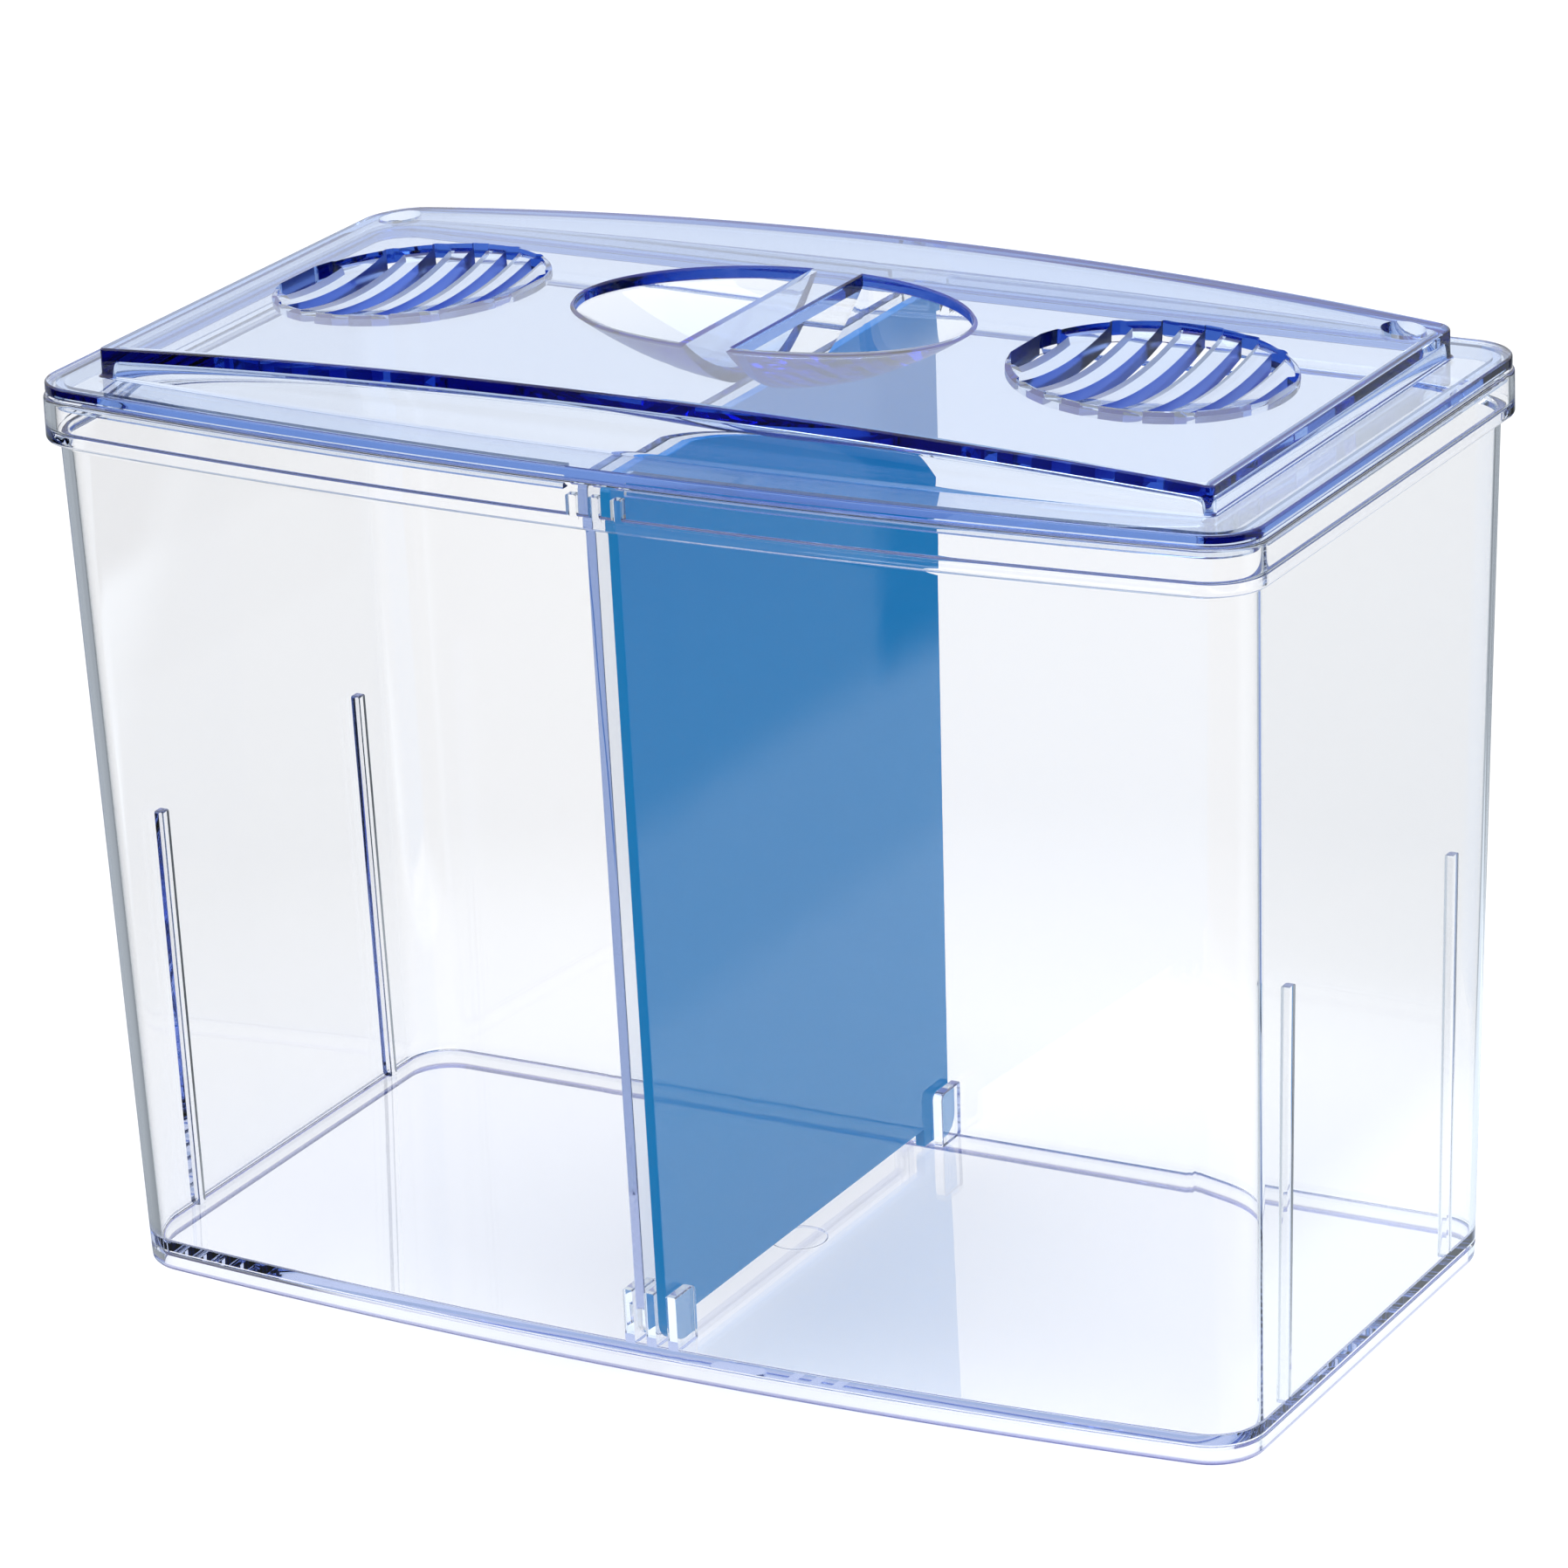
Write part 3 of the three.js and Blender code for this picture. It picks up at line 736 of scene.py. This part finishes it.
def bowl_ring(grow, bar):
    """Half the grip's ellipse, grown outwards, closed by a straight side along the bar."""
    a = GRIP_LENGTH / 2 + grow
    b = GRIP_DEPTH / 2 + grow
    reach = math.acos(bar / a)
    t = np.linspace(-reach, reach, BOWL_STEPS + 1)
    curve = np.stack([a * np.cos(t), MIDDLE_Y + b * np.sin(t)], 1)
    y = np.linspace(curve[-1, 1], curve[0, 1], BAR_STEPS + 1)[1:-1]
    return np.concatenate([curve, np.stack([np.full(len(y), bar), y], 1)])


def bowl_depth(places, grow, dish):
    """The bowl's depth below the dome's top: a step at the edge, then a dish."""
    along = places[:, 0] / (GRIP_LENGTH / 2 + grow)
    across = (places[:, 1] - MIDDLE_Y) / (GRIP_DEPTH / 2 + grow)
    return BOWL_STEP + dish * (1 - along ** 2 - across ** 2) + grow


def grip_bowl(side, grow, bar, dish, stops):
    """A dished body below the dome's top, with walls that follow stops of (extra growth, depth)."""
    ring = bowl_ring(grow, bar)
    centre = np.array([bar + BOWL_MIDDLE_SHARE * (GRIP_LENGTH / 2 - bar), MIDDLE_Y])
    rows = []
    for share in np.linspace(BOWL_FIRST_SHARE, 1, BOWL_RINGS):
        inner = centre + (ring - centre) * share
        rows.append(np.column_stack([inner, LID_FOOT + vault(inner[:, 0]) - bowl_depth(inner, grow, dish)]))
    for extra, depth in stops:
        wide = bowl_ring(grow + extra, bar - extra)
        rows.append(np.column_stack([wide, LID_FOOT + vault(wide[:, 0]) - depth]))
    n = len(ring)
    last = len(rows) * n
    bottom = LID_FOOT + float(vault(centre[0])) - bowl_depth(centre[None], grow, dish)[0]
    top = rows[-1][:, 2].mean()
    points = np.concatenate(rows + [[(*centre, bottom), (*centre, top)]])
    points[:, 0] *= side
    faces = [(r * n + j, r * n + (j + 1) % n, (r + 1) * n + (j + 1) % n, (r + 1) * n + j)
             for r in range(len(rows) - 1) for j in range(n)]
    faces += [((j + 1) % n, j, last) for j in range(n)]
    faces += [(last - n + j, last - n + (j + 1) % n, last + 1) for j in range(n)]
    obj = mesh_object("bowl", points, faces)
    outward(obj)
    return obj


def bowl_shell(side):
    """The bowl's outside, a little deeper than its inside, whose walls end half-way into the sheet."""
    return grip_bowl(side, BOWL_WALL, BAR_HALF - BOWL_WALL, SHELL_DISH, [(0.0, SHEET / 2)])


def bowl_cut(side):
    """The bowl's inside, opened out at the top so that its edge comes out rounded."""
    stops = quarter(BOWL_ROUND, BOWL_ROUND, steps=5, end=BOWL_OPEN)
    stops.append((stops[-1][0], -BOWL_CLEAR))
    return grip_bowl(side, 0.0, BAR_HALF, BOWL_DISH, stops)


def air_hole(side):
    """The hole for an airline tube near a back corner of the dome."""
    x = side * (DOME_HALF - AIR_HOLE_INSET)
    y = HALF_DEPTH - DOME_INSET - AIR_HOLE_INSET
    return disc("hole", AIR_HOLE_RADIUS, x, y, LID_FOOT, LID_FOOT + DOME_CLEAR)


def true_vault(obj):
    """Gives the vault's top and underside their exact normals, so that reflections run smoothly."""
    nearly_level = 0.98
    nearly_on = 0.01
    mesh = obj.data
    centre = LID_FOOT + DOME_CROWN - VAULT_RADIUS
    normals = [corner.vector.copy() for corner in mesh.corner_normals]
    for face in mesh.polygons:
        if abs(face.normal.z) < nearly_level:
            continue
        drop = 0.0 if face.normal.z > 0 else SHEET
        corners = [mesh.vertices[i].co / MM for i in face.vertices]
        rays = [Vector((corner.x, 0.0, corner.z + drop - centre)) for corner in corners]
        if all(abs(ray.length - VAULT_RADIUS) < nearly_on for ray in rays):
            for corner, ray in zip(face.loop_indices, rays):
                normals[corner] = ray.normalized() * (-1.0 if drop else 1.0)
    mesh.normals_split_custom_set(normals)


def build_lid(material):
    """One moulding: flange and dome, with its lip, vents, finger bowls and airline holes."""
    lid = lid_skin()
    combine(lid, lip(), "UNION")
    for side in (-1, 1):
        combine(lid, vent_bore(side), "DIFFERENCE")
        combine(lid, vent_cup(side), "UNION")
        combine(lid, vent_slots(side, material), "DIFFERENCE")
        combine(lid, bowl_shell(side), "UNION")
    for side in (-1, 1):
        combine(lid, bowl_cut(side), "DIFFERENCE")
        combine(lid, air_hole(side), "DIFFERENCE")
    finish_shading(lid)
    true_vault(lid)
    return lid


# Materials
POLYSTYRENE_IOR = 1.59
SHEET_SWELL = 26.0
SHEET_SWELL_DEPTH = 0.012
PLATE_SWELL = 22.0
PLATE_SWELL_DEPTH = 0.03
WIPE_MARKS = 9.0
WIPED_ROUGHNESS = (0.02, 0.06)
SATIN_ROUGHNESS = 0.3
# Heights in mm at which the painted contact shade along the tank's bottom edge begins and is full
CONTACT_SHADE_FADE = 0.9
CONTACT_SHADE_FULL = 0.5


def swell_bump(tree, place, swell, depth, detail):
    """The normal of moulded sheet, which is never quite flat. Swell and depth are in mm."""
    waves = add(tree, "ShaderNodeTexNoise",
                inputs={"Vector": place, "Scale": 1 / (swell * MM), "Detail": detail})
    bump = add(tree, "ShaderNodeBump",
               inputs={"Height": waves.outputs["Fac"], "Distance": depth * MM, "Strength": 1.0})
    return bump.outputs["Normal"]


def clear_styrene(name, absorb, per_mm, haze=0.0, shade_tint="#ffffff", contact_shade=None):
    """Injection-moulded polystyrene: glass-clear and glossy. Long ways through it show the tint.

    The absorb colour is its shade in shadows, and per_mm what a millimetre takes from red, green and blue.
    Where an edge colour is given, the edge that the piece stands on has it as a thin line of painted
    contact shade.
    """
    material, tree = new_material(name)
    place = add(tree, "ShaderNodeTexCoord").outputs["Object"]
    # A base colour other than white is painted shade, as the blue on the slot walls
    shader = add(tree, "ShaderNodeBsdfPrincipled", inputs={
        "Base Color": linear(shade_tint), "Roughness": haze, "IOR": POLYSTYRENE_IOR, "Transmission Weight": 1.0,
        "Normal": swell_bump(tree, place, SHEET_SWELL, SHEET_SWELL_DEPTH, 1.0)})
    # Painted contact shade: the base colour turns dark along the bottom edge, within a millimetre of the
    # table
    if contact_shade:
        height = add(tree, "ShaderNodeSeparateXYZ", inputs={0: place}).outputs["Z"]
        low = ease(tree, height, CONTACT_SHADE_FADE * MM, CONTACT_SHADE_FULL * MM)
        contact_shaded = add(tree, "ShaderNodeMix", {"data_type": "RGBA"},
                     {0: low, 6: linear(shade_tint), 7: linear(contact_shade)})
        tree.links.new(contact_shaded.outputs[2], shader.inputs["Base Color"])
    path = add(tree, "ShaderNodeLightPath").outputs
    through = add(tree, "ShaderNodeBsdfTransparent", inputs={"Color": linear(absorb)})
    lets = add(tree, "ShaderNodeMath", {"operation": "MAXIMUM"},
               {0: path["Is Shadow Ray"], 1: path["Is Diffuse Ray"]})
    mix = add(tree, "ShaderNodeMixShader",
              inputs={0: lets.outputs[0], 1: shader.outputs[0], 2: through.outputs[0]})
    tint = add(tree, "ShaderNodeVolumeAbsorption", inputs={
        "Color": tuple(1 - a / max(per_mm) for a in per_mm) + (1.0,), "Density": max(per_mm) / MM})
    add(tree, "ShaderNodeOutputMaterial", inputs={"Surface": mix.outputs[0], "Volume": tint.outputs[0]})
    return material


def blue_plate():
    """Injection-moulded polystyrene with blue pigment: smooth, nearly opaque, a little dulled by wiping."""
    material, tree = new_material("blue pigmented polystyrene")
    place = add(tree, "ShaderNodeTexCoord").outputs["Object"]
    least, most = WIPED_ROUGHNESS
    wiped = add(tree, "ShaderNodeTexNoise",
                inputs={"Vector": place, "Scale": 1 / (WIPE_MARKS * MM), "Detail": 5.0})
    dull = add(tree, "ShaderNodeMapRange",
               inputs={"Value": wiped.outputs["Fac"], "To Min": least, "To Max": most})
    shader = add(tree, "ShaderNodeBsdfPrincipled", inputs={
        "Base Color": linear("#0086c8"), "Roughness": dull.outputs[0], "IOR": POLYSTYRENE_IOR,
        "Normal": swell_bump(tree, place, PLATE_SWELL, PLATE_SWELL_DEPTH, 2.0)})
    add(tree, "ShaderNodeOutputMaterial", inputs={"Surface": shader.outputs[0]})
    return material


# Studio: white to the eye, while mirroring faces see dark cards on the table and a grey horizon.
# The horizon's and the ceiling's heights are the upward share of a ray's direction.
# A band is where a change on the table starts and where it is complete, in metres.
WHITE = (1.0, 1.0, 1.0, 1.0)
OPEN_AIR = (0.9, 0.9, 0.91, 1.0)
HORIZON = (0.6, 0.61, 0.67, 1.0)
HORIZON_HEIGHT = 0.02
CEILING_HEIGHT = 0.2
TABLE_HALF = 8000.0
TABLE_DROP = 0.1
TABLE_GREY = (0.6, 0.6, 0.6, 1.0)
TABLE_GLEAM = (0.86, 0.95, 1.04, 1.0)
NEAR_FILL = (0.13, 0.4)
FAR_FILL = (3.0, 0.6)
MIDDLE_FILLS = ((0.25, 0.28), (1.0, 0.42))
GLEAM_LEVEL = 1.4
EVEN_LEVEL = 0.8
CARD_SLANT = (-1.85, 1.0, 0.0)
RIGHT_BAND, RIGHT_LOSS = (0.078, 0.098), 0.25
FAR_BAND, FAR_LOSS = (0.135, 0.16), 0.54
STRIP_START, STRIP_END, STRIP_LOSS = (0.024, 0.032), (0.085, 0.065), 1.0
BACK_BAND, BACK_LOSS = (0.06, 0.1), 0.7
FRONT_BAND, FRONT_LOSS = (-0.02, -0.1), 0.92
SOFTBOX_SIZE = (1.4, 1.0)
SOFTBOX_WATTS = 14.0
SOFTBOX_PLACE = (0.1, 0.1, 1.5)


def plain_sight(tree):
    """1 for rays that see the studio directly or straight through clear plastic, 0 for the others."""
    path = add(tree, "ShaderNodeLightPath").outputs
    turned_by = add(tree, "ShaderNodeMath", {"operation": "ADD"},
                    {0: path["Glossy Depth"], 1: path["Diffuse Depth"]})
    unturned = add(tree, "ShaderNodeMath", {"operation": "LESS_THAN"}, {0: turned_by.outputs[0], 1: 0.5})
    through = add(tree, "ShaderNodeMath", {"operation": "MULTIPLY"},
                  {0: unturned.outputs[0], 1: path["Is Transmission Ray"]})
    return add(tree, "ShaderNodeMath", {"operation": "MAXIMUM"},
               {0: through.outputs[0], 1: path["Is Camera Ray"]}).outputs[0]


def mirrored(tree):
    """1 for rays that a glossy face has turned, 0 for the others."""
    turns = add(tree, "ShaderNodeLightPath").outputs["Glossy Depth"]
    return add(tree, "ShaderNodeMath", {"operation": "GREATER_THAN"}, {0: turns, 1: 0.5}).outputs[0]


def ease(tree, value, start, end):
    """Rises smoothly from 0 at start to 1 at end."""
    return add(tree, "ShaderNodeMapRange", {"interpolation_type": "SMOOTHSTEP"},
               {"Value": value, "From Min": start, "From Max": end}).outputs[0]


def dimmed(tree, level, loss, *places):
    """The level with a share of it lost where every one of the 0 to 1 values is high."""
    for value in places:
        loss = add(tree, "ShaderNodeMath", {"operation": "MULTIPLY"}, {0: loss, 1: value}).outputs[0]
    kept = add(tree, "ShaderNodeMath", {"operation": "SUBTRACT"}, {0: 1.0, 1: loss})
    return add(tree, "ShaderNodeMath", {"operation": "MULTIPLY"}, {0: level, 1: kept.outputs[0]}).outputs[0]


def table_level(tree):
    """How bright the table looks in a mirroring face: white near the tank's back, with dark cards in front
    of it and in a strip behind it. Light that was turned more than once finds it evenly pale."""
    place = add(tree, "ShaderNodeTexCoord").outputs["Object"]
    at = add(tree, "ShaderNodeSeparateXYZ", inputs={0: place}).outputs
    slant = add(tree, "ShaderNodeVectorMath", {"operation": "DOT_PRODUCT"},
                {0: place, 1: CARD_SLANT}).outputs["Value"]
    far = ease(tree, at["X"], *FAR_BAND)
    level = dimmed(tree, GLEAM_LEVEL, RIGHT_LOSS, ease(tree, at["X"], *RIGHT_BAND))
    level = dimmed(tree, level, FAR_LOSS, far)
    level = dimmed(tree, level, STRIP_LOSS, far,
                   ease(tree, slant, *STRIP_START), ease(tree, slant, *STRIP_END))
    level = dimmed(tree, level, BACK_LOSS, ease(tree, slant, *BACK_BAND))
    level = dimmed(tree, level, FRONT_LOSS, ease(tree, at["Y"], *FRONT_BAND))
    turns = add(tree, "ShaderNodeLightPath").outputs["Glossy Depth"]
    once = add(tree, "ShaderNodeMath", {"operation": "COMPARE"}, {0: turns, 1: 1.0, 2: 0.5})
    return add(tree, "ShaderNodeMix", {"data_type": "FLOAT"},
               {0: once.outputs[0], 2: EVEN_LEVEL, 3: level}).outputs[0]


def table_fill(tree):
    """Light that the table gives in plain sight alone, by distance, so that it stays white to the eye."""
    reach, far_level = FAR_FILL
    near, near_level = NEAR_FILL
    place = add(tree, "ShaderNodeTexCoord").outputs["Object"]
    distance = add(tree, "ShaderNodeVectorMath", {"operation": "LENGTH"}, {0: place}).outputs["Value"]
    share = add(tree, "ShaderNodeMath", {"operation": "DIVIDE"}, {0: distance, 1: reach})
    fill = add(tree, "ShaderNodeValToRGB", inputs={0: share.outputs[0]})
    stops = fill.color_ramp.elements
    stops[0].position = near / reach
    stops[0].color = (near_level, near_level, near_level, 1.0)
    stops[1].position = 1.0
    stops[1].color = (far_level, far_level, far_level, 1.0)
    for at, level in MIDDLE_FILLS:
        stops.new(at / reach).color = (level, level, level, 1.0)
    return add(tree, "ShaderNodeMath", {"operation": "MULTIPLY"},
               {0: plain_sight(tree), 1: fill.outputs[0]}).outputs[0]


def build_world():
    """White in plain sight, pale grey elsewhere, and a ramp up from the horizon in mirroring faces."""
    world = bpy.data.worlds.new("studio")
    bpy.context.scene.world = world
    world.use_nodes = True
    tree = world.node_tree
    tree.nodes.clear()
    place = add(tree, "ShaderNodeTexCoord")
    split = add(tree, "ShaderNodeSeparateXYZ", inputs={0: place.outputs["Generated"]})
    panels = add(tree, "ShaderNodeValToRGB", inputs={0: split.outputs["Z"]})
    stops = panels.color_ramp.elements
    stops[0].position = HORIZON_HEIGHT
    stops[0].color = HORIZON
    stops[1].position = CEILING_HEIGHT
    stops[1].color = WHITE
    around = add(tree, "ShaderNodeMix", {"data_type": "RGBA"},
                 {0: mirrored(tree), 6: OPEN_AIR, 7: panels.outputs[0]})
    seen = add(tree, "ShaderNodeMix", {"data_type": "RGBA"},
               {0: plain_sight(tree), 6: around.outputs[2], 7: WHITE})
    background = add(tree, "ShaderNodeBackground", inputs={"Color": seen.outputs[2], "Strength": 1.0})
    add(tree, "ShaderNodeOutputWorld", inputs={"Surface": background.outputs[0]})


def build_table():
    """A matt white table, which keeps the tank's shadow."""
    corners = [(x * TABLE_HALF, y * TABLE_HALF, -TABLE_DROP)
               for x, y in ((-1, -1), (1, -1), (1, 1), (-1, 1))]
    floor = mesh_object("floor", corners, [(0, 1, 2, 3)])
    material, tree = new_material("white table")
    matt = add(tree, "ShaderNodeBsdfDiffuse", inputs={"Color": TABLE_GREY})
    fill = add(tree, "ShaderNodeEmission", inputs={"Color": WHITE, "Strength": table_fill(tree)})
    eyed = add(tree, "ShaderNodeAddShader", inputs={0: matt.outputs[0], 1: fill.outputs[0]})
    gleam = add(tree, "ShaderNodeEmission", inputs={"Color": TABLE_GLEAM, "Strength": table_level(tree)})
    either = add(tree, "ShaderNodeMixShader",
                 inputs={0: mirrored(tree), 1: eyed.outputs[0], 2: gleam.outputs[0]})
    add(tree, "ShaderNodeOutputMaterial", inputs={"Surface": either.outputs[0]})
    floor.data.materials.append(material)


def build_softbox():
    """One large lamp overhead, which no mirroring face shows."""
    lamp_data = bpy.data.lights.new("softbox", "AREA")
    lamp_data.shape = "RECTANGLE"
    lamp_data.size, lamp_data.size_y = SOFTBOX_SIZE
    lamp_data.energy = SOFTBOX_WATTS
    lamp = bpy.data.objects.new("softbox", lamp_data)
    lamp.location = SOFTBOX_PLACE
    lamp.visible_glossy = False
    bpy.context.scene.collection.objects.link(lamp)


# Assembly
bpy.context.scene.view_settings.view_transform = "Standard"
cycles = bpy.context.scene.cycles

# Light crosses and skims many clear walls before it leaves the tank
cycles.max_bounces = 90
cycles.transmission_bounces = 64
cycles.glossy_bounces = 64
cycles.transparent_max_bounces = 32
build_world()
build_table()
build_softbox()

ROW_TREE, ROW_SOCKETS = row_tree()
CLEAR_LOSS = (0.0052, 0.004, 0.0008)
BLUE_LOSS = (0.104, 0.07, 0.018)
# The tank's bottom edge carries a dark lilac line of painted contact shade
clear = clear_styrene("clear polystyrene", "#fefeff", CLEAR_LOSS, contact_shade="#5959a3")
tinted = clear_styrene("blue-tinted clear polystyrene", "#fcfdff", BLUE_LOSS)
# The slot walls are satin, and their blue base colour is painted shade
slot_walls = clear_styrene("blue-tinted polystyrene, satin slot walls", "#fcfdff", BLUE_LOSS,
                           haze=SATIN_ROUGHNESS, shade_tint="#86a6ff")
plate = blue_plate()

half_pitch = SLOT_PITCH / 2
pieces = (
    (build_tank(clear), clear, "tank", "tank_body", "clear_styrene"),
    (build_divider("divider_clear_plate", -half_pitch), clear,
     "divider_clear", "divider_clear_body", "clear_divider"),
    (build_divider("divider_blue_plate", half_pitch), plate,
     "divider_blue", "divider_blue_body", "blue_divider"),
    (build_lid(tinted), tinted, "lid", "lid_body", "blue_tint_styrene"),
)
for piece, material, node, body, slot in pieces:
    piece.data.materials.clear()
    piece.data.materials.append(material)
    if node == "lid":
        coat_slots(piece, slot_walls)
    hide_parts(node)
    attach(piece, body)
